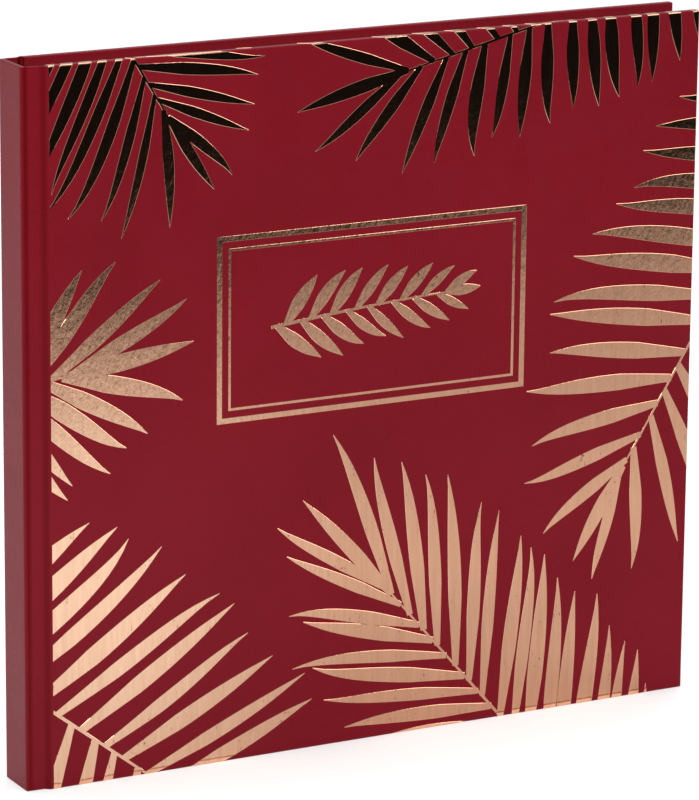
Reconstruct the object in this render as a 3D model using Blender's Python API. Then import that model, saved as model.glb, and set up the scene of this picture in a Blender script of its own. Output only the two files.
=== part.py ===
"""Bookbound photo album, closed and standing on its tail edge.

Frame: X runs from the spine face (-) to the fore-edge (+), Y from the front cover (-) to the back
cover (+), and Z up from the tail to the head. The origin is the centre of the album's base.

Each layer of the case is its own solid: board, printed covering paper with its turn-ins, and
pastedown. The block is a packet of glued leaf stubs with card leaves, each with its own glassine
sheet, that turn about the gutter line at the front of the block. Neighbouring layers keep a thin
glue line between them.
"""

import bmesh
import bpy
from mathutils import Vector

MM = 0.001

# Driving dimensions of the closed album
WIDTH = 250 * MM
HEIGHT = 240 * MM
THICKNESS = 20 * MM

# Materials of the case
BOARD = 2.2 * MM
SPINE_BOARD = 1.2 * MM
COVER_PAPER = 0.2 * MM
ENDPAPER = 0.15 * MM
FOIL = 0.03 * MM
GLUE_LINE = 0.1 * MM
EDGE_ROUND = 0.4 * MM

# The block
LEAVES = 20
CARD = 0.35 * MM
GLASSINE = 0.06 * MM
SQUARE = 3.5 * MM
FORE_EDGE_SQUARE = 4 * MM
GLASSINE_INSET = 1 * MM
BLOCK_HALF = 6.5 * MM
FLYLEAF_FACE = 6.75 * MM

# Distances from the spine face
SPINE_HALF = 8.5 * MM
LINING_FACE = 2.8 * MM
MULL_FACE = 3.15 * MM
STUB_START = 3.6 * MM
FLANGE_END = 8.2 * MM
BOARD_PAPER_START = 8.4 * MM
BOARD_START = 8.6 * MM
PASTEDOWN_START = 9.2 * MM
STUB_END = 13.5 * MM
LEAF_START = 14.1 * MM

# Hinge lines, as distance from the spine face and distance from the middle of the thickness
COVER_HINGE = 7.5 * MM
COVER_HINGE_OUT = THICKNESS / 2
GUTTER = 13.9 * MM
GUTTER_OUT = 6.9 * MM

# Small pieces
TURN_IN = 15 * MM
PASTEDOWN_MARGIN = 3 * MM
LINING_PAPER = 0.2 * MM
MULL = 0.25 * MM
LINING_INSET = 12 * MM
MULL_INSET = 10 * MM
BAND_RADIUS = 0.8 * MM
BAND_GAP = 0.2 * MM
BAND_SIDES = 16

# The two foil rules of the frame on the front cover
FRAME_CENTRE_U = 126 * MM
FRAME_CENTRE_Z = 147.7 * MM
FRAME_WIDTH = 115.6 * MM
FRAME_HEIGHT = 62.8 * MM
OUTER_RULE = 1.9 * MM
RULE_GAP = 2.3 * MM
INNER_RULE = 0.9 * MM

CUT = 2 * MM  # how far a cutter runs past what it cuts


def clear_scene():
    for obj in list(bpy.data.objects):
        bpy.data.objects.remove(obj)


def make_material(name, colour, roughness, metallic=0.0):
    material = bpy.data.materials.new(name)
    material.use_nodes = True
    shader = material.node_tree.nodes["Principled BSDF"]
    shader.inputs["Base Color"].default_value = (*colour, 1)
    shader.inputs["Roughness"].default_value = roughness
    shader.inputs["Metallic"].default_value = metallic
    material.diffuse_color = (*colour, 1)
    return material


def make_materials():
    return {
        "laminate": make_material("cover_laminate", (0.195, 0.012, 0.018), 0.35),
        "greyboard": make_material("greyboard", (0.30, 0.28, 0.25), 0.9),
        "endpaper": make_material("endpaper", (0.80, 0.77, 0.70), 0.8),
        "card": make_material("photo_card", (0.82, 0.79, 0.72), 0.85),
        "glassine": make_material("glassine", (0.85, 0.85, 0.82), 0.45),
        "kraft": make_material("kraft_lining", (0.42, 0.29, 0.17), 0.85),
        "mull": make_material("mull_gauze", (0.78, 0.75, 0.68), 0.95),
        "band": make_material("band_cloth", (0.33, 0.02, 0.03), 0.8),
        "foil": make_material("rose_gold_foil", (0.80, 0.50, 0.36), 0.2, 1.0),
    }


def at(u):
    """X of a distance from the spine face."""
    return u - WIDTH / 2


def add_object(name, mesh, material, parent=None):
    mesh.materials.clear()
    mesh.materials.append(material)
    obj = bpy.data.objects.new(name, mesh)
    bpy.context.scene.collection.objects.link(obj)
    obj.parent = parent
    return obj


def add_axis(name, location):
    """An empty on a joint's axis, which the pieces of that body are parented to."""
    empty = bpy.data.objects.new(name, None)
    empty.location = location
    empty.empty_display_size = 0.01
    bpy.context.scene.collection.objects.link(empty)
    return empty


def box_mesh(name, low, high, origin=(0, 0, 0)):
    """A box between two corners, measured from origin."""
    low, high = Vector(low), Vector(high)
    low, high = Vector(map(min, low, high)), Vector(map(max, low, high))
    bm = bmesh.new()
    bmesh.ops.create_cube(bm, size=1)
    bmesh.ops.scale(bm, vec=high - low, verts=bm.verts)
    bmesh.ops.translate(bm, vec=(low + high) / 2 - Vector(origin), verts=bm.verts)
    mesh = bpy.data.meshes.new(name)
    bm.to_mesh(mesh)
    bm.free()
    return mesh


def add_box(name, material, low, high, parent=None):
    origin = parent.location if parent else Vector((0, 0, 0))
    return add_object(name, box_mesh(name, low, high, origin), material, parent)


def add_cutter(name, low, high, parent=None):
    origin = parent.location if parent else Vector((0, 0, 0))
    cutter = bpy.data.objects.new(name, box_mesh(name, low, high, origin))
    bpy.context.scene.collection.objects.link(cutter)
    cutter.parent = parent
    cutter.hide_render = True
    cutter.display_type = "WIRE"
    return cutter


def combine(obj, other, operation):
    modifier = obj.modifiers.new(other.name, "BOOLEAN")
    modifier.operation = operation
    modifier.object = other
    return modifier


def round_edges(obj):
    modifier = obj.modifiers.new("rounded_edges", "BEVEL")
    modifier.width = EDGE_ROUND
    modifier.segments = 2
    modifier.limit_method = "ANGLE"
    return modifier


def cover_layers(side, outer_face):
    """Distances from the middle of the thickness to each face of one cover, from outside to inside."""
    paper = outer_face - COVER_PAPER
    board_out = paper - GLUE_LINE
    board_in = board_out - BOARD
    turn_in_out = board_in - GLUE_LINE
    turn_in_in = turn_in_out - COVER_PAPER
    pastedown_out = turn_in_in - GLUE_LINE
    faces = {
        "outer": outer_face,
        "paper_in": paper,
        "board_out": board_out,
        "board_in": board_in,
        "turn_in_out": turn_in_out,
        "turn_in_in": turn_in_in,
        "pastedown_out": pastedown_out,
        "pastedown_in": pastedown_out - ENDPAPER,
    }
    return {key: side * value for key, value in faces.items()}


def add_cover(name, side, outer_face, materials, axis):
    """Board, covering paper wrapped round three of its edges, and pastedown of one cover."""
    y = cover_layers(side, outer_face)
    wrap = COVER_PAPER + GLUE_LINE
    add_box(
        f"{name}_board",
        materials["greyboard"],
        (at(BOARD_START), y["board_out"], wrap),
        (at(WIDTH - wrap), y["board_in"], HEIGHT - wrap),
        axis,
    )
    paper = add_box(
        f"{name}_cover_paper",
        materials["laminate"],
        (at(BOARD_PAPER_START - CUT), y["outer"], 0),
        (at(WIDTH), y["turn_in_in"], HEIGHT),
        axis,
    )
    round_edges(paper)
    joint_cut = add_cutter(
        f"{name}_joint_cut",
        (at(BOARD_PAPER_START - 2 * CUT), y["outer"] + side * CUT, -CUT),
        (at(BOARD_PAPER_START), y["turn_in_in"] - side * CUT, HEIGHT + CUT),
        axis,
    )
    board_space = add_cutter(
        f"{name}_board_space",
        (at(BOARD_PAPER_START - CUT), y["paper_in"], COVER_PAPER),
        (at(WIDTH - COVER_PAPER), y["turn_in_out"], HEIGHT - COVER_PAPER),
        axis,
    )
    turn_in_window = add_cutter(
        f"{name}_turn_in_window",
        (at(BOARD_PAPER_START - CUT), y["board_in"], TURN_IN),
        (at(WIDTH - TURN_IN), y["turn_in_in"] - side * CUT, HEIGHT - TURN_IN),
        axis,
    )
    for cutter in (joint_cut, board_space, turn_in_window):
        combine(paper, cutter, "DIFFERENCE")
    add_box(
        f"{name}_pastedown",
        materials["endpaper"],
        (at(PASTEDOWN_START), y["pastedown_out"], PASTEDOWN_MARGIN),
        (at(WIDTH - PASTEDOWN_MARGIN), y["pastedown_in"], HEIGHT - PASTEDOWN_MARGIN),
        axis,
    )


def add_spine(materials):
    """Spine board and its covering paper, which runs on into a flange along each joint."""
    board_start = COVER_PAPER + GLUE_LINE
    board_end = board_start + SPINE_BOARD
    turn_in_end = board_end + GLUE_LINE + COVER_PAPER
    board_half = SPINE_HALF - COVER_PAPER - GLUE_LINE
    add_box(
        "spine_board",
        materials["greyboard"],
        (at(board_start), -board_half, board_start),
        (at(board_end), board_half, HEIGHT - board_start),
    )
    paper = add_box(
        "spine_cover_paper",
        materials["laminate"],
        (at(0), -SPINE_HALF, 0),
        (at(turn_in_end), SPINE_HALF, HEIGHT),
    )
    board_space = add_cutter(
        "spine_board_space",
        (at(COVER_PAPER), -(SPINE_HALF - COVER_PAPER), COVER_PAPER),
        (at(board_end + GLUE_LINE), SPINE_HALF - COVER_PAPER, HEIGHT - COVER_PAPER),
    )
    turn_in_window = add_cutter(
        "spine_turn_in_window",
        (at(board_end), -(SPINE_HALF - COVER_PAPER), TURN_IN),
        (at(turn_in_end + CUT), SPINE_HALF - COVER_PAPER, HEIGHT - TURN_IN),
    )
    combine(paper, board_space, "DIFFERENCE")
    combine(paper, turn_in_window, "DIFFERENCE")
    for name, side in (("front", -1), ("back", 1)):
        flange = add_cutter(
            f"{name}_joint_flange",
            (at(COVER_PAPER / 2), side * SPINE_HALF, 0),
            (at(FLANGE_END), side * (SPINE_HALF - COVER_PAPER), HEIGHT),
        )
        combine(paper, flange, "UNION")


def add_band(name, z, materials):
    """A cloth band: a bead across the spine edge of the block."""
    bm = bmesh.new()
    bmesh.ops.create_cone(
        bm,
        cap_ends=True,
        segments=BAND_SIDES,
        radius1=BAND_RADIUS,
        radius2=BAND_RADIUS,
        depth=2 * BLOCK_HALF,
    )
    mesh = bpy.data.meshes.new(name)
    bm.to_mesh(mesh)
    bm.free()
    mesh.shade_smooth()
    mesh.set_sharp_from_angle(angle=0.8)
    band = add_object(name, mesh, materials["band"])
    band.rotation_euler = (1.5707963, 0, 0)
    band.location = (at(STUB_START + BAND_RADIUS), 0, z)


def add_block_spine(materials):
    """The glued stubs of the leaves, with what lines and finishes them."""
    add_box(
        "leaf_stub_block",
        materials["card"],
        (at(STUB_START), -FLYLEAF_FACE, SQUARE),
        (at(STUB_END), FLYLEAF_FACE, HEIGHT - SQUARE),
    )
    add_box(
        "spine_mull",
        materials["mull"],
        (at(MULL_FACE), -BLOCK_HALF, MULL_INSET),
        (at(MULL_FACE + MULL), BLOCK_HALF, HEIGHT - MULL_INSET),
    )
    add_box(
        "spine_lining_paper",
        materials["kraft"],
        (at(LINING_FACE), -BLOCK_HALF, LINING_INSET),
        (at(LINING_FACE + LINING_PAPER), BLOCK_HALF, HEIGHT - LINING_INSET),
    )
    band_centre = SQUARE - BAND_GAP - BAND_RADIUS
    add_band("tail_band", band_centre, materials)
    add_band("head_band", HEIGHT - band_centre, materials)


def add_flyleaf(name, side, materials):
    axis = add_axis(f"{name}_hinge_axis", (at(GUTTER), side * GUTTER_OUT, 0))
    add_box(
        name,
        materials["endpaper"],
        (at(LEAF_START), side * FLYLEAF_FACE, SQUARE),
        (at(WIDTH - FORE_EDGE_SQUARE), side * (FLYLEAF_FACE - ENDPAPER), HEIGHT - SQUARE),
        axis,
    )


def add_leaf(number, materials):
    """One card leaf with the glassine sheet that protects its front."""
    pitch = 2 * BLOCK_HALF / LEAVES
    gap = (pitch - CARD - GLASSINE) / 2
    sheet_front = -BLOCK_HALF + (number - 1) * pitch + gap / 2
    card_front = sheet_front + GLASSINE + gap
    axis = add_axis(f"leaf_{number:02d}_hinge_axis", (at(GUTTER), -GUTTER_OUT, 0))
    fore_edge = WIDTH - FORE_EDGE_SQUARE
    add_box(
        f"glassine_{number:02d}",
        materials["glassine"],
        (at(LEAF_START), sheet_front, SQUARE + GLASSINE_INSET),
        (at(fore_edge - GLASSINE_INSET), sheet_front + GLASSINE, HEIGHT - SQUARE - GLASSINE_INSET),
        axis,
    )
    add_box(
        f"photo_leaf_{number:02d}",
        materials["card"],
        (at(LEAF_START), card_front, SQUARE),
        (at(fore_edge), card_front + CARD, HEIGHT - SQUARE),
        axis,
    )


def add_foil_rule(name, inset, rule, materials, axis):
    """One rectangular rule of foil, flush with the front plane of the album."""
    half_width = FRAME_WIDTH / 2 - inset
    half_height = FRAME_HEIGHT / 2 - inset
    centre = Vector((at(FRAME_CENTRE_U), -THICKNESS / 2 + FOIL / 2, FRAME_CENTRE_Z))
    outer = Vector((half_width, FOIL / 2, half_height))
    inner = Vector((half_width - rule, FOIL, half_height - rule))
    rule_object = add_box(name, materials["foil"], centre - outer, centre + outer, axis)
    opening = add_cutter(f"{name}_opening", centre - inner, centre + inner, axis)
    combine(rule_object, opening, "DIFFERENCE")


def build():
    clear_scene()
    materials = make_materials()
    add_spine(materials)
    add_block_spine(materials)
    foil_plane = THICKNESS / 2 - FOIL - GLUE_LINE / 5
    front_axis = add_axis("front_cover_hinge_axis", (at(COVER_HINGE), -COVER_HINGE_OUT, 0))
    back_axis = add_axis("back_cover_hinge_axis", (at(COVER_HINGE), COVER_HINGE_OUT, 0))
    add_cover("front", -1, foil_plane, materials, front_axis)
    add_cover("back", 1, THICKNESS / 2, materials, back_axis)
    add_foil_rule("foil_frame_outer_rule", 0, OUTER_RULE, materials, front_axis)
    add_foil_rule("foil_frame_inner_rule", OUTER_RULE + RULE_GAP, INNER_RULE, materials, front_axis)
    add_flyleaf("front_flyleaf", -1, materials)
    add_flyleaf("back_flyleaf", 1, materials)
    for number in range(1, LEAVES + 1):
        add_leaf(number, materials)


build()
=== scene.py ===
"""Looks of the bookbound photo album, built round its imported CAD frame.

u is the distance from the spine face, d the distance from the middle of the thickness and z the
height above the tail. Lengths are in metres, except for the flat foil design, which is drawn in
millimetres on the front cover and then wrapped onto it.
"""

import math
import random

import bmesh
import bpy
from mathutils import Matrix, Vector
from mathutils.geometry import delaunay_2d_cdt


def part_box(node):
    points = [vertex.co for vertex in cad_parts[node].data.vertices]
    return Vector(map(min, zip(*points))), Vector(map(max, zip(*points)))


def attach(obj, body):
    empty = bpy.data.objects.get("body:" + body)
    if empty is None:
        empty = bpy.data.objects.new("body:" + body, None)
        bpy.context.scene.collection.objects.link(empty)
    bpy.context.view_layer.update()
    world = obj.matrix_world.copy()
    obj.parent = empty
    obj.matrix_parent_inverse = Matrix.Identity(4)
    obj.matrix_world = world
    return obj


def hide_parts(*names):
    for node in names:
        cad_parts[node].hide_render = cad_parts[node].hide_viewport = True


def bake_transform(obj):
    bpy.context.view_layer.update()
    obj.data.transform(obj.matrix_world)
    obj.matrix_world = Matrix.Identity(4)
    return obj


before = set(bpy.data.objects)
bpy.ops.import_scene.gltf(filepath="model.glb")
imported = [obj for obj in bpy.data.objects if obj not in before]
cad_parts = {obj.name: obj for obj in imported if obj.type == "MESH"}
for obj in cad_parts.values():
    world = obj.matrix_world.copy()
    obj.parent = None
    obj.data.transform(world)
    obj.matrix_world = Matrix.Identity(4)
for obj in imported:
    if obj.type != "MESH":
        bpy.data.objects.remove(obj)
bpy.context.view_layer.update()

MM = 0.001
FRONT, BACK = -1, 1
ROOT = "spine_and_block"

# Sizes read from the frame
SPINE_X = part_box("spine_cover_paper")[0].x
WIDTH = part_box("front_cover_paper")[1].x - SPINE_X
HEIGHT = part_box("front_cover_paper")[1].z
SPINE_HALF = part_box("spine_cover_paper")[1].y
OUTER = {FRONT: -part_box("front_cover_paper")[0].y, BACK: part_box("back_cover_paper")[1].y}
INNER = {FRONT: -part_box("front_cover_paper")[1].y, BACK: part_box("back_cover_paper")[0].y}
FOIL_FACE = -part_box("foil_frame_outer_rule")[0].y
SPINE_BOARD_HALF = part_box("spine_board")[1].y
LEAVES = sum(name.startswith("photo_leaf_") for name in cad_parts)

# The covering
PAPER = 0.2 * MM
SKIN = 0.03 * MM  # how far the covering stays inside the album's box, for the foil wrapped over it
EDGE = 0.42 * MM  # how round the covering is along the edges of the boards
FLANGE = 0.6 * MM  # how thick the covering's own layer is where no board backs it
SPINE_CORNER = 0.85 * MM
CREASE = 1.45 * MM
CREASE_DEPTH = 0.22 * MM
SPINE_TURN_IN = 1.8 * MM
SPINE_LAYER = SPINE_BOARD_HALF + 0.035 * MM  # where the cover's layer starts, over the spine's turn-in
SPINE_CLEAR = 2.0 * MM  # past this the cover's layer no longer overlies the spine's
GROOVE_START = 2.6 * MM
GROOVE_END = 5.8 * MM
GROOVE_SHADE_LINE = 7.3 * MM  # painted shade lies along here, and along the crease
PAINTED_SHADE_WIDTH = 1.3 * MM
BOARD_RISE = 8.35 * MM
BOARD_PAPER_START = 8.4 * MM
TURN_IN = 15 * MM
BOARD_SLACK = 0.04 * MM  # clearance between a board and what wraps it
SPINE_SLACK = 0.01 * MM  # the same, along the spine board's long edges
SPINE_WINDOW = (1.3 * MM, 3 * MM)  # the stretch of u cut open behind the spine board
ARC_STEPS = 5
SUPPORT = 0.5 * MM  # how far beside a rounded edge a row of vertices holds the surface flat
ROUND_THIN = 0.16 * MM  # how round the covering's ends are where no board backs it, on its outer side
ROUND_UNDER = 0.08 * MM  # the same, on its inner side
FOIL_SINK = 0.004 * MM  # how deep the foil's underside lies in the covering
SHARP_ANGLE = 0.6  # radians between two faces past which their edge is shaded sharp
FOIL_SHARP_ANGLE = 0.12

# The leaves
GUTTER = 13.9 * MM
LEAF_BEND_END = 24 * MM
STUB_START = 3.7 * MM
STUB_END = 13.4 * MM
SPACER_BACK = 0.02 * MM  # how far before the glassine a spacer's back lies
SPACER_FRONT = 0.10 * MM  # the same for its front
CARD_TRIM = 0.25 * MM  # the most by which sheets and spacers are cut short
GLASSINE_TRIM = 0.4 * MM
SPACER_TRIM = 0.5 * MM
SHEET_ROWS = 8

# The endpapers: the first two are (u, d) points
SHOULDER = (STUB_START, 6.85 * MM)
CREST = (6.0 * MM, 7.55 * MM)
LANDING = 8.3 * MM  # where the endpaper comes down onto the board
PASTED_START = 10 * MM


def at(u):
    return SPINE_X + u


def smooth(t):
    return t * t * (3 - 2 * t)


def spread(start, end, count):
    return [start + (end - start) * i / count for i in range(count + 1)]


def eased(start, end, count):
    """Points from one (u, d) point to another, on a curve that is level at both."""
    (u0, d0), (u1, d1) = start, end
    return [(u0 + (u1 - u0) * t, d0 + (d1 - d0) * smooth(t)) for t in spread(0, 1, count)]


# ---------------------------------------------------------------- materials


class Paint:
    """A material's node tree, with short calls for the nodes used here.

    The pattern of a moving piece is laid out by the place that each vertex has at rest.
    """

    def __init__(self, name, moving=False, **sockets):
        self.material = bpy.data.materials.new(name)
        self.material.use_nodes = True
        self.tree = self.material.node_tree
        self.shader = self.tree.nodes["Principled BSDF"]
        for socket, value in sockets.items():
            self.shader.inputs[socket.replace("_", " ")].default_value = value
        if moving:
            source = self.tree.nodes.new("ShaderNodeAttribute")
            source.attribute_name = "place"
            self.place = source.outputs["Vector"]
        else:
            self.place = self.tree.nodes.new("ShaderNodeTexCoord").outputs["Object"]

    def link(self, value, socket):
        """Feeds a socket from a node's output, or sets it to a constant."""
        if hasattr(value, "is_output"):
            self.tree.links.new(value, socket)
        else:
            socket.default_value = value

    def stretched(self, scale):
        node = self.tree.nodes.new("ShaderNodeMapping")
        node.inputs["Scale"].default_value = scale
        self.link(self.place, node.inputs["Vector"])
        return node.outputs["Vector"]

    def noise(self, scale, stretch=(1, 1, 1), detail=4, roughness=0.6):
        node = self.tree.nodes.new("ShaderNodeTexNoise")
        node.inputs["Scale"].default_value = scale
        node.inputs["Detail"].default_value = detail
        node.inputs["Roughness"].default_value = roughness
        self.link(self.stretched(stretch), node.inputs["Vector"])
        return node.outputs["Fac"]

    def cells(self, scale):
        """Distance to the nearest wall of a web of cells."""
        node = self.tree.nodes.new("ShaderNodeTexVoronoi")
        node.feature = "DISTANCE_TO_EDGE"
        node.inputs["Scale"].default_value = scale
        self.link(self.place, node.inputs["Vector"])
        return node.outputs["Distance"]

    def waves(self, scale, direction, distortion=0.0):
        node = self.tree.nodes.new("ShaderNodeTexWave")
        node.bands_direction = direction
        node.inputs["Scale"].default_value = scale
        node.inputs["Distortion"].default_value = distortion
        self.link(self.place, node.inputs["Vector"])
        return node.outputs["Fac"]

    def remap(self, value, low, high, to_low=0.0, to_high=1.0):
        node = self.tree.nodes.new("ShaderNodeMapRange")
        self.link(value, node.inputs["Value"])
        limits = {"From Min": low, "From Max": high, "To Min": to_low, "To Max": to_high}
        for socket, number in limits.items():
            node.inputs[socket].default_value = number
        return node.outputs["Result"]

    def ramp(self, value, stops):
        """Grey levels along a value: stops are (value, level) pairs in rising order."""
        low, high = stops[0][0], stops[-1][0]
        node = self.tree.nodes.new("ShaderNodeValToRGB")
        self.link(self.remap(value, low, high), node.inputs["Fac"])
        points = node.color_ramp.elements
        for _ in stops[2:]:
            points.new(0.5)
        for point, (spot, level) in zip(points, stops):
            point.position = (spot - low) / (high - low)
            point.color = rgb(level, level, level)
        return node.outputs["Color"]

    def math(self, operation, a, b):
        node = self.tree.nodes.new("ShaderNodeMath")
        node.operation = operation
        self.link(a, node.inputs[0])
        self.link(b, node.inputs[1])
        return node.outputs["Value"]

    def mix(self, share, a, b):
        node = self.tree.nodes.new("ShaderNodeMix")
        node.data_type = "RGBA"
        self.link(share, node.inputs["Factor"])
        self.link(a, node.inputs["A"])
        self.link(b, node.inputs["B"])
        return node.outputs["Result"]

    def along(self, axis):
        node = self.tree.nodes.new("ShaderNodeSeparateXYZ")
        self.link(self.place, node.inputs["Vector"])
        return node.outputs[axis]

    def painted_shade_band(self, x, half_width, strength):
        """A soft band of painted shade, of this strength, round a line of constant x."""
        away = self.math("ABSOLUTE", self.math("SUBTRACT", self.along("X"), x), 0)
        return self.remap(away, 0.25 * half_width, half_width, strength, 0)

    def colour(self, value):
        self.link(value, self.shader.inputs["Base Color"])

    def roughness(self, value):
        self.link(value, self.shader.inputs["Roughness"])

    def bump(self, height, distance):
        node = self.tree.nodes.new("ShaderNodeBump")
        node.inputs["Distance"].default_value = distance
        node.inputs["Strength"].default_value = 1.0
        self.link(height, node.inputs["Height"])
        self.link(node.outputs["Normal"], self.shader.inputs["Normal"])


def rgb(red, green, blue):
    return (red, green, blue, 1.0)


def laminate_material():
    """Deep red printed paper under a satin film, with painted shade along the crease and the joint's
    groove.
    """
    paint = Paint("red_laminate", moving=True, IOR=1.26, Specular_IOR_Level=0.22)
    cloud = paint.noise(14, detail=3)
    speck = paint.noise(900, detail=2)
    clouded = paint.remap(cloud, 0.35, 0.65)
    deep = paint.mix(clouded, rgb(0.130, 0.0036, 0.0083), rgb(0.146, 0.0043, 0.0099))
    printed = paint.mix(paint.remap(speck, 0.55, 0.75, 0, 0.18), deep, rgb(0.165, 0.0045, 0.010))
    # painted shade: a darker red without sheen, in the crease and along the joint's groove
    painted_shade_red = rgb(0.098, 0.0001, 0.0022)
    crease_shaded = paint.mix(paint.painted_shade_band(at(CREASE), PAINTED_SHADE_WIDTH, 0.9), printed, painted_shade_red)
    paint.colour(paint.mix(paint.painted_shade_band(at(GROOVE_SHADE_LINE), PAINTED_SHADE_WIDTH, 0.8), crease_shaded, painted_shade_red))
    paint.roughness(paint.remap(paint.noise(60), 0.3, 0.7, 0.24, 0.33))
    fibre = paint.noise(420, detail=5)
    wave = paint.noise(45, detail=2)
    paint.bump(paint.math("ADD", fibre, paint.math("MULTIPLY", wave, 6.0)), 0.006 * MM)
    return paint.material


def foil_material():
    """Hot-stamped rose-gold foil: a mirror with vertical grain, a fine mottle, pinholes and rubs."""
    paint = Paint("rose_gold_hot_foil", Metallic=1.0)
    grain = paint.noise(260, stretch=(3.0, 1, 0.16), detail=5, roughness=0.7)
    mottle = paint.noise(650, stretch=(1.5, 1, 0.6), detail=3)
    pinholes = paint.noise(1150, stretch=(1.3, 1, 0.5), detail=2)
    rubs = paint.noise(95, stretch=(1.5, 1, 0.45), detail=5, roughness=0.75)
    bare = paint.math("MULTIPLY", paint.remap(pinholes, 0.64, 0.70), paint.remap(rubs, 0.50, 0.62))
    metal = paint.mix(paint.remap(grain, 0.35, 0.7), rgb(0.72, 0.380, 0.236), rgb(0.83, 0.458, 0.296))
    paint.colour(paint.mix(bare, metal, rgb(0.11, 0.020, 0.020)))
    paint.roughness(paint.remap(grain, 0.3, 0.75, 0.035, 0.085))
    relief = paint.math("ADD", grain, paint.math("MULTIPLY", rubs, 0.6))
    paint.bump(paint.math("ADD", relief, paint.math("MULTIPLY", mottle, 14.0)), 0.004 * MM)
    return paint.material


def paper_material(name, light, dark, scale=700, moving=True):
    """Uncoated paper or card: short fibres, faint flecks and a soft tooth."""
    paint = Paint(name, moving=moving, Specular_IOR_Level=0.25)
    fibre = paint.noise(scale, stretch=(1, 1, 0.35), detail=6, roughness=0.7)
    fleck = paint.noise(scale * 0.3, detail=2)
    base = paint.mix(paint.remap(fibre, 0.35, 0.7), light, dark)
    paint.colour(paint.mix(paint.remap(fleck, 0.68, 0.76, 0, 0.35), base, dark))
    paint.roughness(paint.remap(fibre, 0.2, 0.8, 0.77, 0.91))
    paint.bump(fibre, 0.02 * MM)
    return paint.material


def glassine_material():
    """Thin translucent interleaving with an embossed web of cells."""
    paint = Paint("glassine_web", moving=True, Alpha=0.55, Specular_IOR_Level=0.5)
    web = paint.cells(190)
    veins = paint.remap(web, 0.0, 0.06, 1.0, 0.0)
    paint.colour(paint.mix(veins, rgb(0.80, 0.80, 0.77), rgb(0.93, 0.93, 0.90)))
    paint.roughness(paint.remap(veins, 0, 1, 0.28, 0.5))
    paint.bump(veins, 0.03 * MM)
    return paint.material


def gauze_material():
    """Open-weave mull stiffened with glue."""
    paint = Paint("gauze_weave", Specular_IOR_Level=0.2)
    weave = paint.math("MULTIPLY", paint.waves(520, "Z"), paint.waves(520, "Y"))
    glue = paint.noise(120, detail=3)
    thread = paint.mix(weave, rgb(0.42, 0.38, 0.31), rgb(0.80, 0.77, 0.70))
    paint.colour(paint.mix(paint.remap(glue, 0.5, 0.7, 0, 0.5), thread, rgb(0.62, 0.56, 0.42)))
    paint.roughness(paint.remap(glue, 0.4, 0.7, 0.95, 0.5))
    paint.bump(weave, 0.08 * MM)
    return paint.material


def band_material():
    """Red and cream band cloth, striped along the bead."""
    paint = Paint("band_stripe_cloth", Specular_IOR_Level=0.3)
    stripe = paint.remap(paint.waves(160, "Y", 0.4), 0.42, 0.58)
    thread = paint.noise(2600, stretch=(1, 0.3, 1), detail=3)
    cloth = paint.mix(stripe, rgb(0.30, 0.012, 0.02), rgb(0.72, 0.62, 0.48))
    paint.colour(paint.mix(paint.remap(thread, 0.3, 0.7, 0, 0.3), cloth, rgb(0.12, 0.02, 0.02)))
    paint.roughness(paint.remap(thread, 0.2, 0.8, 0.7, 0.9))
    paint.bump(thread, 0.03 * MM)
    return paint.material


LAMINATE = laminate_material()
FOIL = foil_material()
CARD = paper_material("cream_card", rgb(0.84, 0.79, 0.68), rgb(0.74, 0.68, 0.56))
ENDPAPER = paper_material("ivory_endpaper", rgb(0.82, 0.78, 0.69), rgb(0.75, 0.70, 0.60), scale=900)
GLASSINE = glassine_material()
GREYBOARD = paper_material(
    "grey_pulp_board", rgb(0.34, 0.32, 0.29), rgb(0.20, 0.19, 0.17), scale=350, moving=False
)
KRAFT = paper_material(
    "brown_kraft", rgb(0.42, 0.28, 0.16), rgb(0.30, 0.19, 0.10), scale=500, moving=False
)
GAUZE = gauze_material()
BAND = band_material()


# ---------------------------------------------------------------- pieces


def sharpen_end_caps(mesh):
    """Keeps the flat ends of a lofted bar flat in shading, where they meet its rounded edge."""
    bm = bmesh.new()
    bm.from_mesh(mesh)
    for edge in bm.edges:
        flat = [abs(face.normal.z) > 0.9999 for face in edge.link_faces]
        if len(set(flat)) > 1:
            edge.smooth = False
    bm.to_mesh(mesh)
    bm.free()


def finish_piece(name, mesh, material, replaced, sharp_angle=SHARP_ANGLE):
    """Makes the mesh a piece that stands for CAD nodes, and stores each vertex's place at rest."""
    mesh.materials.clear()
    mesh.materials.append(material)
    mesh.shade_smooth()
    mesh.set_sharp_from_angle(angle=sharp_angle)
    sharpen_end_caps(mesh)
    place = mesh.attributes.new("place", "FLOAT_VECTOR", "POINT")
    place.data.foreach_set("vector", [number for vertex in mesh.vertices for number in vertex.co])
    piece = bpy.data.objects.new(name, mesh)
    bpy.context.scene.collection.objects.link(piece)
    if replaced:
        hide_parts(*replaced)
    return piece


def box_into(bm, low, high):
    made = bmesh.ops.create_cube(bm, size=1)["verts"]
    low, high = Vector(map(min, low, high)), Vector(map(max, low, high))
    bmesh.ops.scale(bm, vec=high - low, verts=made)
    bmesh.ops.translate(bm, vec=(low + high) / 2, verts=made)


def mesh_from(bm, name):
    bmesh.ops.recalc_face_normals(bm, faces=bm.faces)
    mesh = bpy.data.meshes.new(name)
    bm.to_mesh(mesh)
    bm.free()
    return mesh


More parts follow.
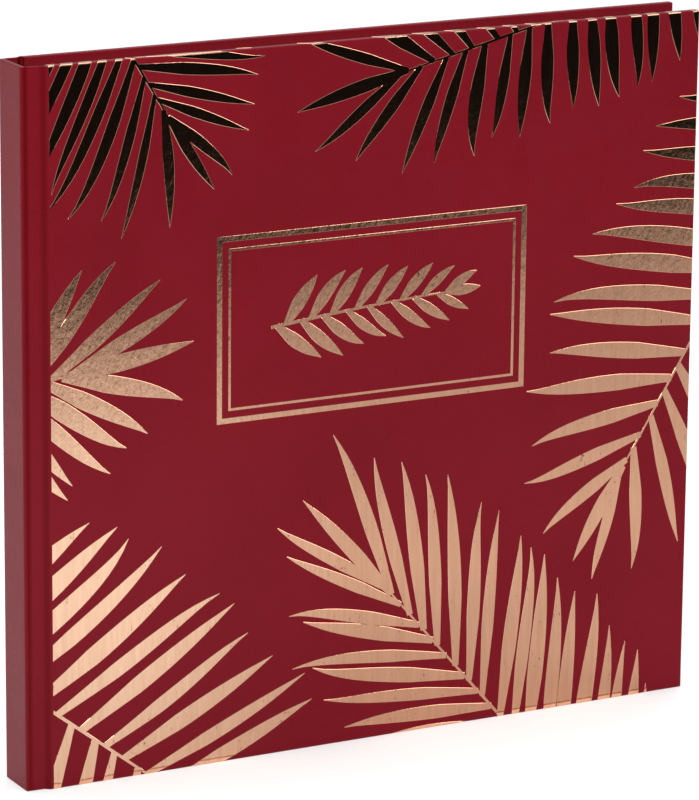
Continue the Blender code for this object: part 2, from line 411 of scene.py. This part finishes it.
def cut_boxes(mesh, boxes):
    """The mesh with boxes cut out of it."""
    target = bpy.data.objects.new("cut_target", mesh)
    bpy.context.scene.collection.objects.link(target)
    cutters = []
    for low, high in boxes:
        bm = bmesh.new()
        box_into(bm, low, high)
        cutter = bpy.data.objects.new("cutter", mesh_from(bm, "cutter"))
        bpy.context.scene.collection.objects.link(cutter)
        modifier = target.modifiers.new("cut", "BOOLEAN")
        modifier.operation = "DIFFERENCE"
        modifier.object = cutter
        cutters.append(cutter)
    bpy.context.view_layer.update()
    graph = bpy.context.evaluated_depsgraph_get()
    result = bpy.data.meshes.new_from_object(target.evaluated_get(graph))
    for obj in [target, *cutters]:
        bpy.data.objects.remove(obj)
    return result


def outline_normals(points):
    """Outward normal of each point of a closed outline of (u, d) points, whichever way it runs."""
    count = len(points)
    area = sum(a[0] * b[1] - b[0] * a[1] for a, b in zip(points, points[1:] + points[:1]))
    sign = 1 if area > 0 else -1
    normals = []
    for i in range(count):
        before, here, after = points[i - 1], points[i], points[(i + 1) % count]
        sides = []
        for a, b in ((before, here), (here, after)):
            along = Vector((b[0] - a[0], b[1] - a[1])).normalized()
            sides.append(Vector((along.y, -along.x)) * sign)
        normals.append((sides[0] + sides[1]).normalized())
    return normals


def loft(name, outline, side, low_z, high_z):
    """A bar with this outline of (u, d, radius) points along z, each radius rounding its ends there."""
    normals = outline_normals([(u, d) for u, d, _ in outline])
    angles = spread(0, math.pi / 2, ARC_STEPS)
    levels = [("low", a) for a in angles] + [("low", None), ("high", None)]
    levels += [("high", a) for a in reversed(angles)]
    bm = bmesh.new()
    rings = []
    for end, angle in levels:
        ring = []
        for (u, d, radius), normal in zip(outline, normals):
            inset = 0 if angle is None else radius * (1 - math.sin(angle))
            drop = radius + SUPPORT if angle is None else radius * (1 - math.cos(angle))
            z = low_z + drop if end == "low" else high_z - drop
            u_in, d_in = u - normal.x * inset, d - normal.y * inset
            ring.append(bm.verts.new((at(u_in), side * d_in, z)))
        rings.append(ring)
    count = len(outline)
    for lower, upper in zip(rings, rings[1:]):
        for i in range(count):
            j = (i + 1) % count
            bm.faces.new((lower[i], lower[j], upper[j], upper[i]))
    caps = [bm.faces.new(rings[0]), bm.faces.new(rings[-1])]
    bmesh.ops.scale(bm, vec=Vector((1, 1, 1)) / MM, verts=bm.verts)
    bmesh.ops.triangulate(bm, faces=caps)  # in millimetres: in metres these thin caps come out folded
    bmesh.ops.scale(bm, vec=Vector((1, 1, 1)) * MM, verts=bm.verts)
    return mesh_from(bm, name)


def arc(centre, radius, start, end):
    """Points of an arc between two angles in degrees, both ends included."""
    angles = [math.radians(angle) for angle in spread(start, end, ARC_STEPS)]
    return [(centre[0] + radius * math.cos(a), centre[1] + radius * math.sin(a)) for a in angles]


def joint_points(outer):
    """The covering's outer side from the crease, over the flat of the joint, and up onto the board."""
    points = eased((CREASE, SPINE_HALF - CREASE_DEPTH), (GROOVE_START, SPINE_HALF), 6)
    points.append(((GROOVE_START + GROOVE_END) / 2, SPINE_HALF))
    return points + eased((GROOVE_END, SPINE_HALF), (BOARD_RISE, outer), 10)


def layer_depth(u, d):
    """Thickness of the covering's own layer: thin over the spine's turned-in edge, then FLANGE."""
    return d - SPINE_LAYER if u < SPINE_CLEAR else FLANGE


def edge_round(u, d):
    """How round the covering's head and tail edges are on its outer side, where no board backs it."""
    return min(ROUND_THIN, layer_depth(u, d) / 2)


def cover_outline(side):
    """Closed outline of one cover's covering, from the crease round the fore-edge and back."""
    outer, inner = OUTER[side], INNER[side]
    end = WIDTH - SKIN
    joint = joint_points(outer)
    points = [(u, d, edge_round(u, d)) for u, d in joint]
    board_side = [(BOARD_RISE + SUPPORT, outer), (end - EDGE - SUPPORT, outer)]
    board_side += arc((end - EDGE, outer - EDGE), EDGE, 90, 0)
    board_side += arc((end - EDGE, inner + EDGE), EDGE, 0, -90)
    board_side += [(end - EDGE - SUPPORT, inner), (BOARD_PAPER_START + SUPPORT, inner)]
    points += [(u, d, EDGE) for u, d in board_side]
    points.append((BOARD_PAPER_START, inner, ROUND_UNDER))
    points.append((BOARD_PAPER_START, outer - 2 * FLANGE, ROUND_UNDER))
    for u, d in reversed(joint):
        if u < BOARD_PAPER_START - FLANGE:
            depth = layer_depth(u, d)
            points.append((u, d - depth, min(ROUND_UNDER, depth / 3)))
    return points


def make_covering(name, side):
    """One cover's red covering: wrapped board, and the groove at the joint."""
    mesh = loft(f"{name}_covering", cover_outline(side), side, SKIN, HEIGHT - SKIN)
    inner = INNER[side]
    low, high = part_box(f"{name}_board")
    slack = Vector((1, 1, 1)) * BOARD_SLACK
    board = (low - slack, high + slack)
    window = (
        (low.x + BOARD_SLACK, side * (inner + 2 * PAPER), TURN_IN),
        (at(WIDTH - TURN_IN), side * (inner - MM), HEIGHT - TURN_IN),
    )
    mesh = cut_boxes(mesh, [board, window])
    piece = finish_piece(f"{name}_covering", mesh, LAMINATE, [f"{name}_cover_paper"])
    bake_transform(piece)


def make_spine_covering():
    """The red covering over the spine board, rounded into the crease at each joint."""
    seam = CREASE - SKIN
    lip = SPINE_LAYER - SPINE_SLACK
    points = [(0.0, 0.0), (0.0, SPINE_HALF - SPINE_CORNER - SUPPORT)]
    points += arc((SPINE_CORNER, SPINE_HALF - SPINE_CORNER), SPINE_CORNER, 180, 90)
    points += eased((SPINE_CORNER, SPINE_HALF), (seam, SPINE_HALF - CREASE_DEPTH), 5)[1:]
    points += [(seam, lip), (SPINE_TURN_IN, lip)]
    points += [(u, -d) for u, d in reversed(points[1:])]
    outline = [(u, d, PAPER) for u, d in points]
    mesh = loft("spine_covering", outline, 1, SKIN, HEIGHT - SKIN)
    low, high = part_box("spine_board")
    slack = Vector((BOARD_SLACK, SPINE_SLACK, BOARD_SLACK))
    window_start, window_end = SPINE_WINDOW
    window = ((at(window_start), low.y, TURN_IN), (at(window_end), high.y, HEIGHT - TURN_IN))
    mesh = cut_boxes(mesh, [(low - slack, high + slack), window])
    piece = finish_piece("spine_covering", mesh, LAMINATE, ["spine_cover_paper"])
    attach(piece, ROOT)


def sheet_mesh(name, stations, thickness, side, low_z, high_z):
    """A thin closed sheet along a path of (u, d) stations, with its thickness towards greater d."""
    bm = bmesh.new()
    grid = []
    for z in spread(low_z, high_z, SHEET_ROWS):
        inner = [bm.verts.new((at(u), side * d, z)) for u, d in stations]
        outer = [bm.verts.new((at(u), side * (d + thickness), z)) for u, d in stations]
        grid.append(inner + outer[::-1])
    count = len(grid[0])
    for lower, upper in zip(grid, grid[1:]):
        for i in range(count):
            j = (i + 1) % count
            bm.faces.new((lower[i], lower[j], upper[j], upper[i]))
    for ring in (grid[0], grid[-1]):
        for i in range(count // 2 - 1):
            bm.faces.new((ring[i], ring[i + 1], ring[count - 2 - i], ring[count - 1 - i]))
    return mesh_from(bm, name)


def make_endpaper(name, side):
    """The endpaper from the block's shoulder, over the inside of the joint and down onto the board."""
    low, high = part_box(f"{name}_pastedown")
    face = min(abs(low.y), abs(high.y))
    thick = abs(high.y - low.y)
    path = eased(SHOULDER, CREST, 8) + eased(CREST, (LANDING, face), 8)[1:]
    path += [(u, face) for u in spread(PASTED_START, high.x - SPINE_X, 12)]
    trimmed_low, trimmed_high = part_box(f"{name}_flyleaf")
    mesh = sheet_mesh(f"{name}_endpaper", path, thick, side, trimmed_low.z, trimmed_high.z)
    piece = finish_piece(f"{name}_endpaper", mesh, ENDPAPER, [f"{name}_pastedown"])
    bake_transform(piece)


def make_turning_sheet(name, node, material, trim=0.0):
    """A leaf, glassine sheet or flyleaf that starts in the glued stubs, with closer stations past the
    gutter.
    """
    low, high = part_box(node)
    stations = spread(STUB_START, GUTTER, 4)
    stations += spread(GUTTER, LEAF_BEND_END, 12)[1:]
    stations += spread(LEAF_BEND_END, high.x - SPINE_X - trim, 10)[1:]
    path = [(u, low.y) for u in stations]
    mesh = sheet_mesh(name, path, high.y - low.y, 1, low.z + trim, high.z - trim)
    piece = finish_piece(name, mesh, material, [node])
    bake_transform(piece)


def make_leaf(index, draw):
    """A card leaf and its glassine, each cut a little short."""
    trim = draw.uniform(0, CARD_TRIM)
    make_turning_sheet(f"card_leaf_{index}", f"photo_leaf_{index}", CARD, trim)
    trim = draw.uniform(0, GLASSINE_TRIM)
    make_turning_sheet(f"glassine_sheet_{index}", f"glassine_{index}", GLASSINE, trim)


def add_spacer(bm, index, draw):
    """The strip of card that fills the gap between the stubs in front of a leaf's glassine."""
    low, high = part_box("leaf_stub_block")
    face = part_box(f"glassine_{index}")[0].y
    end = STUB_END - draw.uniform(0, SPACER_TRIM)
    box_into(bm, (at(STUB_START), face - SPACER_BACK, low.z), (at(end), face - SPACER_FRONT, high.z))


def make_block():
    """Card leaves with their glassine, the spacer strips between their stubs, and the flyleaves."""
    draw = random.Random(4)
    bm = bmesh.new()
    for number in range(1, LEAVES + 1):
        index = f"{number:02d}"
        make_leaf(index, draw)
        add_spacer(bm, index, draw)
    mesh = mesh_from(bm, "stub_spacers")
    spacers = finish_piece("stub_spacers", mesh, CARD, ["leaf_stub_block"])
    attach(spacers, ROOT)
    for side in ("front", "back"):
        flyleaf = f"{side}_flyleaf"
        make_turning_sheet(f"{side}_fly_sheet", flyleaf, ENDPAPER)


def make_band(node):
    """A cloth band: a bead with the swell of its wrapped threads."""
    low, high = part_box(node)
    centre = (low + high) / 2
    radius = (high.z - low.z) / 2
    turns, per_turn, sides = 34, 6, 14
    rings = turns * per_turn
    bm = bmesh.new()
    loops = []
    for k in range(rings + 1):
        y = low.y + (high.y - low.y) * k / rings
        swell = 0.90 + 0.10 * abs(math.sin(math.pi * k / per_turn))
        close = min(1, (min(k, rings - k) + 1) / 3)  # the bead narrows over its last rings
        loop = []
        for i in range(sides):
            a = 2 * math.pi * i / sides
            reach = radius * swell * (0.55 + 0.45 * close)
            spot = (centre.x + reach * math.cos(a), y, centre.z + reach * math.sin(a))
            loop.append(bm.verts.new(spot))
        loops.append(loop)
    for lower, upper in zip(loops, loops[1:]):
        for i in range(sides):
            j = (i + 1) % sides
            bm.faces.new((lower[i], lower[j], upper[j], upper[i]))
    bm.faces.new(loops[0])
    bm.faces.new(loops[-1])
    piece = finish_piece(f"woven_{node}", mesh_from(bm, node), BAND, [node])
    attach(piece, ROOT)


# ---------------------------------------------------------------- foil, drawn flat in millimetres

FOIL_START = 9.0  # the foil begins here, past the joint
FOIL_BEVEL = 0.11  # how far in from its foot the foil's top edge lies
LEAST_SHARE = 0.05  # of its area that a face keeps when the bevel draws the foil's top in
BLUNT = 0.13  # half the least width of a stem or leaflet
BEND_LATE = 1.5  # leaflets turn more towards their tips
OPEN_LATE = 5  # leaflets stay spread along the stem and close only near its tip
HOOK = 24  # the most degrees by which a leaflet's point curls either way
HOOK_LATE = 6  # and the point curls only at its very end
STEM_STEPS = 60
STEM_WIDTH = 1.5
LEAFLET_STEPS = 14
LENGTH_DRAW = 0.07  # how much leaflets differ at random in length, width, opening and bend
WIDTH_DRAW = (0.84, 1.1)
OPENING_DRAW = 3
BEND_DRAW = 5
STAGGER = 0.22  # the leaflets of the two sides stand this share of their spacing off the middle
WRAP = 2.3  # how far the design runs past the cover's edges
FOLD_REACH = 5  # how far the fold lines run past them
INSIDE_ONLY = 1  # the kind of triangulation that leaves nothing outside the outlines
WELD = 1e-4  # points of the design that lie nearer than this become one


def curve(start, heading, length, bend, steps, hook=0.0):
    """Points along a curve, each with its heading in radians.

    The heading turns by bend degrees along the curve, and by hook degrees more at its very end.
    """
    stations = []
    u, z = start
    for k in range(steps + 1):
        t = k / steps
        angle = math.radians(heading + bend * t**BEND_LATE + hook * t**HOOK_LATE)
        stations.append((u, z, angle))
        u += math.cos(angle) * length / steps
        z += math.sin(angle) * length / steps
    return stations


def ribbon(stations, width, shape):
    """Closed outline of a strip along a curve."""
    left, right = [], []
    last = len(stations) - 1
    for k, (u, z, angle) in enumerate(stations):
        half = max(BLUNT, width / 2 * shape(k / last))
        left.append((u - math.sin(angle) * half, z + math.cos(angle) * half))
        right.append((u + math.sin(angle) * half, z - math.cos(angle) * half))
    return right + left[::-1]


def blade(t):
    """Width of a leaflet along its length: narrow at the stalk, full past the middle, then a point."""
    taper = max(0.0, (t - 0.4) / 0.6)
    return min(1.0, 0.45 + 1.5 * t) * (1 - taper**2.2)


def stalk(t):
    return 1 - 0.55 * t


def between(values, t):
    """A smooth curve through three values, at t = 0, a half and 1."""
    first, middle, last = values
    return first * (1 - t) * (1 - 2 * t) + middle * 4 * t * (1 - t) + last * t * (2 * t - 1)


def frond(
    root, heading, length, bend, count, openings, lengths,
    width, seed, turns, stem=STEM_WIDTH, sides=(1, 1),
):
    """Outlines of one palm frond: a stem with leaflets to its right and left, closing towards the tip.

    openings are the leaflets' angles off the stem at its root and tip, lengths their lengths at its
    root, middle and tip, turns how many degrees the right and the left leaflets bend, and sides how
    long the right and the left leaflets are for their place.
    """
    draw = random.Random(seed)
    line = curve(root, heading, length, bend, STEM_STEPS)
    outlines = [ribbon(line[::4], stem, stalk)]
    for side, share, turn in zip((-1, 1), sides, turns):
        for k in range(count):
            t = (k + 0.5 + STAGGER * side) / count
            u, z, along = line[round(t * STEM_STEPS)]
            opening = openings[0] + (openings[1] - openings[0]) * t**OPEN_LATE
            opening += draw.uniform(-OPENING_DRAW, OPENING_DRAW)
            reach = share * between(lengths, t) * (1 + draw.uniform(-LENGTH_DRAW, LENGTH_DRAW))
            size = width * (1 - 0.25 * t) * draw.uniform(*WIDTH_DRAW)
            bending = turn * (1 - 0.5 * t) + draw.uniform(-BEND_DRAW, BEND_DRAW)
            hook = draw.uniform(-HOOK, HOOK)
            direction = math.degrees(along) + side * opening
            leaflet = curve((u, z), direction, reach, bending, LEAFLET_STEPS, hook)
            outlines.append(ribbon(leaflet, size, blade))
    u, z, along = line[-3]
    tip = curve((u, z), math.degrees(along), lengths[2], 4, LEAFLET_STEPS)
    outlines.append(ribbon(tip, width * 0.8, blade))
    return outlines


RIGHT_FULLER = (1.15, 1.0)
FRONDS = {
    "head_left": frond(
        root=(21, 270), heading=-60, length=60, bend=2, count=9, openings=(54, 14),
        lengths=(52, 49, 30), width=4.8, seed=9, turns=(-14, -8), sides=RIGHT_FULLER,
    ),
    "head_right": frond(
        root=(277, 262), heading=194, length=148, bend=-1, count=18, openings=(80, 22),
        lengths=(28, 34, 42), width=5.9, seed=2, turns=(-6, 6),
    ),
    "fore_edge": frond(
        root=(298, 206), heading=240, length=148, bend=-3, count=14, openings=(72, 14),
        lengths=(50, 61, 37), width=6.7, seed=8, turns=(12, -12),
    ),
    "joint_side": frond(
        root=(-66, 127), heading=9, length=84, bend=-2, count=13, openings=(60, 11),
        lengths=(54, 47, 46), width=7.3, seed=11, turns=(-8, 10),
    ),
    "tail_left": frond(
        root=(-34, 60), heading=-38, length=130, bend=0, count=13, openings=(70, 32),
        lengths=(56, 66, 50), width=7.0, seed=13, turns=(-12, 12),
    ),
    "tail_right": frond(
        root=(238, -70), heading=131, length=164, bend=0, count=18, openings=(48, 14),
        lengths=(60, 60, 50), width=6.3, seed=49, turns=(1, 8), sides=RIGHT_FULLER,
    ),
}
LEAF_SPRIG = frond(
    root=(88, 147), heading=6, length=68, bend=-4, count=8, openings=(50, 26),
    lengths=(20, 18, 13), width=4.6, seed=21, turns=(18, -18), stem=1.2,
)


def bar(low_u, low_z, high_u, high_z):
    return [(low_u, low_z), (high_u, low_z), (high_u, high_z), (low_u, high_z)]


def rule(node):
    """A rectangular rule where the CAD has it, as four bars in millimetres."""
    low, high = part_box(node)
    mesh_points = [v.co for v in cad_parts[node].data.vertices]
    inner_u = min(abs(p.x - low.x) for p in mesh_points if p.x - low.x > 0.1 * MM) / MM
    u0, u1 = (low.x - SPINE_X) / MM, (high.x - SPINE_X) / MM
    z0, z1 = low.z / MM, high.z / MM
    return [
        bar(u0, z0, u1, z0 + inner_u),
        bar(u0, z1 - inner_u, u1, z1),
        bar(u0, z0, u0 + inner_u, z1),
        bar(u1 - inner_u, z0, u1, z1),
    ]


def cover_area():
    """The part of the front cover that takes foil: past its edges, but not round its corners."""
    width, height, edge = WIDTH / MM, HEIGHT / MM, EDGE / MM + SKIN / MM
    right, top, bottom = width + WRAP, height + WRAP, -WRAP
    return [
        (FOIL_START, bottom),
        (width - edge, bottom),
        (width - edge, edge),
        (right, edge),
        (right, height - edge),
        (width - edge, height - edge),
        (width - edge, top),
        (FOIL_START, top),
    ]


def fold_lines():
    """Lines across the flat design where it bends over an edge of the board."""
    width, height, edge = WIDTH / MM, HEIGHT / MM, EDGE / MM
    bend = edge * math.pi / 2
    offsets = [-edge - SKIN / MM + bend * i / ARC_STEPS for i in range(ARC_STEPS + 1)]
    right, top = width + FOLD_REACH, height + FOLD_REACH
    lines = [((width + o, -FOLD_REACH), (width + o, top)) for o in offsets]
    lines += [((0, height + o), (right, height + o)) for o in offsets]
    lines += [((0, -o), (right, -o)) for o in offsets]
    return lines


def wrapped(distance, limit, lift):
    """Where a point lies that is this distance along a surface with a rounded edge: (along, outward)."""
    start = limit - EDGE
    past = distance - start
    if past <= 0:
        return distance, lift
    angle = min(past / EDGE, math.pi / 2)
    rest = max(0.0, past - EDGE * math.pi / 2)
    reach = EDGE + lift
    return start + reach * math.sin(angle), reach * math.cos(angle) - EDGE - rest


def on_cover(u, z, lift):
    """A point of the flat design, in millimetres, on the front cover, lifted off its surface."""
    outer = OUTER[FRONT]
    u, z = u * MM, z * MM
    new_u, out_u = wrapped(u, WIDTH - SKIN, lift)
    new_z, out_z = wrapped(z, HEIGHT - SKIN, lift)
    low_z, out_low = wrapped(-z, -SKIN, lift)
    if z < SKIN + EDGE:
        new_z, out_z = -low_z, out_low
    out = min(out_u, out_z)
    return Vector((at(new_u), -(outer + out), new_z))


def face_area(points, corners):
    """Twice the area of a face of the flat design, below zero if it is turned over."""
    a, b, c = (points[v] for v in corners)
    return (b - a).cross(c - a)


def turned_over(spots, verts, corners):
    """Whether a face loses nearly all its area, or turns over, on moving to these spots."""
    return face_area(spots, corners) < LEAST_SHARE * face_area(verts, corners)


def bevelled(verts, kept, rim):
    """Where the design's points go on the foil's top: in from the rim, unless a face would turn over."""
    outgoing, incoming = {}, {}
    for a, b in rim:
        outgoing.setdefault(a, []).append(b)
        incoming.setdefault(b, []).append(a)
    spots = {v: verts[v].copy() for corners in kept for v in corners}
    for v, spot in spots.items():
        if len(outgoing.get(v, [])) == 1 and len(incoming.get(v, [])) == 1:
            before, after = verts[incoming[v][0]], verts[outgoing[v][0]]
            inward = Vector((0, 0))
            for along in ((spot - before).normalized(), (after - spot).normalized()):
                inward += Vector((-along.y, along.x))
            if inward.length > 1e-6:
                spots[v] = spot + inward.normalized() * FOIL_BEVEL
    turned = [corners for corners in kept if turned_over(spots, verts, corners)]
    while turned:
        for v in {v for corners in turned for v in corners}:
            spots[v] = verts[v].copy()
        turned = [corners for corners in kept if turned_over(spots, verts, corners)]
    return spots


def design_faces(outlines):
    """Points and triangles of the union of the outlines, kept to the cover and split at its edges."""
    points, edges, faces = [], [], []
    for a, b in fold_lines():
        edges.append((len(points), len(points) + 1))
        points += [Vector(a), Vector(b)]
    for outline in [cover_area(), *outlines]:
        faces.append(list(range(len(points), len(points) + len(outline))))
        points += [Vector(p) for p in outline]
    verts, _, tris, _, _, owners = delaunay_2d_cdt(points, edges, faces, INSIDE_ONLY, WELD)
    return verts, [corners for corners, own in zip(tris, owners) if 0 in own and max(own) > 0]


def foil_mesh(name, outlines):
    """One closed sheet of foil over the union of the outlines, its top edge bevelled all round."""
    verts, kept = design_faces(outlines)
    used = {(corners[i], corners[(i + 1) % 3]) for corners in kept for i in range(3)}
    rim = sorted((a, b) for a, b in used if (b, a) not in used)
    spots = bevelled(verts, kept, rim)
    thick = FOIL_FACE - OUTER[FRONT]
    bm = bmesh.new()
    top, bottom = {}, {}
    for v in sorted(spots):
        bottom[v] = bm.verts.new(on_cover(*verts[v], -FOIL_SINK))
        top[v] = bm.verts.new(on_cover(*spots[v], thick))
    for a, b, c in kept:
        bm.faces.new((top[a], top[b], top[c]))
        bm.faces.new((bottom[c], bottom[b], bottom[a]))
    for a, b in rim:
        bm.faces.new((top[b], top[a], bottom[a], bottom[b]))
    return mesh_from(bm, name)


def make_foil(name, outlines, replaced=()):
    mesh = foil_mesh(name, outlines)
    piece = finish_piece(name, mesh, FOIL, replaced, FOIL_SHARP_ANGLE)
    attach(piece, "front_cover")


def make_foils():
    for name, outlines in FRONDS.items():
        make_foil(f"foil_frond_{name}", outlines)
    make_foil("foil_border_outer", rule("foil_frame_outer_rule"), ["foil_frame_outer_rule"])
    make_foil("foil_border_inner", rule("foil_frame_inner_rule"), ["foil_frame_inner_rule"])
    make_foil("foil_leaf_sprig", LEAF_SPRIG)


def paint_carried_nodes():
    """Procedural materials for the CAD nodes that stay: they sit under the covering and on the spine."""
    materials = {
        "front_board": GREYBOARD,
        "back_board": GREYBOARD,
        "spine_board": GREYBOARD,
        "spine_mull": GAUZE,
        "spine_lining_paper": KRAFT,
    }
    for node, material in materials.items():
        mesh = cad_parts[node].data
        mesh.materials.clear()
        mesh.materials.append(material)


# ---------------------------------------------------------------- stage, lights and camera

# How pale the cloth is at each y
CLOTH_SHADES = (
    (-1.00, 0.005),
    (-0.88, 0.008),
    (-0.80, 0.020),
    (-0.76, 0.036),
    (-0.71, 0.095),
    (-0.63, 0.22),
    (-0.56, 0.32),
    (-0.45, 0.40),
    (-0.34, 0.45),
    (-0.27, 0.50),
    (-0.18, 0.54),
    (-0.11, 0.51),
    (-0.012, 0.60),
)
CLOTH_SLANT = 0.48  # how far sideways the joint side's edge runs for each metre forwards
CLOTH_LAG = 0.06  # how much sooner it darkens on the joint side
FLOOR_CORNERS = ((-6, -6, -0.02), (6, 9, 0))
CLOTH_CORNERS = ((-3.0, -5.0, 0.0005), (4.0, CLOTH_SHADES[-1][0], 0.001))


def floor_material():
    paint = Paint("pale_studio_floor", Specular_IOR_Level=0.2)
    cloud = paint.noise(3, detail=3)
    paint.colour(paint.mix(cloud, rgb(0.86, 0.86, 0.855), rgb(0.89, 0.89, 0.885)))
    paint.roughness(paint.remap(cloud, 0.3, 0.7, 0.75, 0.85))
    return paint.material


def cloth_material():
    """Studio cloth that fades from pale by the album to near black.

    What the cover's joint side mirrors darkens sooner, but is paler and cooler by the album.
    """
    paint = Paint("graded_studio_cloth", Roughness=1.0, Specular_IOR_Level=0.0)
    y = paint.along("Y")
    across = paint.math("ADD", paint.along("X"), paint.math("MULTIPLY", y, CLOTH_SLANT))
    joint_side = paint.remap(across, -0.01, -0.09)
    lag = paint.math("MULTIPLY", joint_side, paint.remap(y, -0.46, -0.60, 0, CLOTH_LAG))
    shade = paint.ramp(paint.math("SUBTRACT", y, lag), CLOTH_SHADES)
    lift = paint.math("MULTIPLY", joint_side, paint.remap(y, -0.52, -0.30))
    lifted = paint.mix(lift, shade, rgb(0.80, 0.94, 1.0))
    nap = paint.remap(paint.noise(80), 0, 1, 0.0, 0.04)
    paint.colour(paint.mix(nap, lifted, rgb(0.002, 0.002, 0.002)))
    return paint.material


def stage_plate(name, low, high, material):
    bm = bmesh.new()
    box_into(bm, low, high)
    mesh = mesh_from(bm, name)
    mesh.materials.append(material)
    obj = bpy.data.objects.new(name, mesh)
    bpy.context.scene.collection.objects.link(obj)
    return obj


def make_stage():
    """A pale floor, and a graded cloth before the album that is seen only where the album mirrors it."""
    stage_plate("floor", *FLOOR_CORNERS, floor_material())
    cloth = stage_plate("graded_cloth", *CLOTH_CORNERS, cloth_material())
    cloth.visible_camera = False
    cloth.visible_diffuse = False
    cloth.visible_shadow = False


def add_softbox(name, location, target, size, energy):
    light = bpy.data.lights.new(name, "AREA")
    light.shape = "RECTANGLE"
    light.size, light.size_y = size
    light.energy = energy
    obj = bpy.data.objects.new(name, light)
    obj.location = location
    obj.rotation_mode = "QUATERNION"
    obj.rotation_quaternion = (Vector(target) - Vector(location)).to_track_quat("-Z", "Y")
    bpy.context.scene.collection.objects.link(obj)


def make_lights():
    world = bpy.data.worlds.new("studio")
    world.use_nodes = True
    world.node_tree.nodes["Background"].inputs["Color"].default_value = (0.95, 0.97, 1.0, 1)
    world.node_tree.nodes["Background"].inputs["Strength"].default_value = 0.55
    bpy.context.scene.world = world
    middle = (0, 0, 0.12)
    add_softbox("key", (-1.5, -1.7, 1.9), middle, (1.6, 1.6), 62)
    add_softbox("fill", (1.8, -1.6, 1.2), middle, (1.4, 1.4), 20)
    add_softbox("top", (0.1, 0.5, 2.2), middle, (1.8, 1.8), 36)


CAMERA_PLACE = (-0.7083, -1.3225, 0.5089)
CAMERA_YAW, CAMERA_PITCH, CAMERA_ROLL = 28.09, 14.68, 0.53
CAMERA_LENS = 208.93


def make_camera():
    data = bpy.data.cameras.new("camera")
    data.lens = CAMERA_LENS
    data.sensor_width = 36
    data.clip_start, data.clip_end = 0.05, 50
    camera = bpy.data.objects.new("camera", data)
    yaw, pitch, roll = (math.radians(a) for a in (CAMERA_YAW, CAMERA_PITCH, CAMERA_ROLL))
    level = math.cos(pitch)
    forward = Vector((math.sin(yaw) * level, math.cos(yaw) * level, -math.sin(pitch)))
    right = Vector((math.cos(yaw), -math.sin(yaw), 0))
    up = right.cross(forward)
    right, up = (
        right * math.cos(roll) + up * math.sin(roll),
        up * math.cos(roll) - right * math.sin(roll),
    )
    turn = Matrix((right, up, -forward)).transposed()
    camera.matrix_world = Matrix.Translation(CAMERA_PLACE) @ turn.to_4x4()
    bpy.context.scene.collection.objects.link(camera)
    bpy.context.scene.camera = camera
    bpy.context.scene.view_settings.view_transform = "Standard"


make_camera()
make_lights()
make_stage()
paint_carried_nodes()
make_spine_covering()
make_covering("front", FRONT)
make_covering("back", BACK)
make_endpaper("front", FRONT)
make_endpaper("back", BACK)
make_block()
make_band("head_band")
make_band("tail_band")
make_foils()
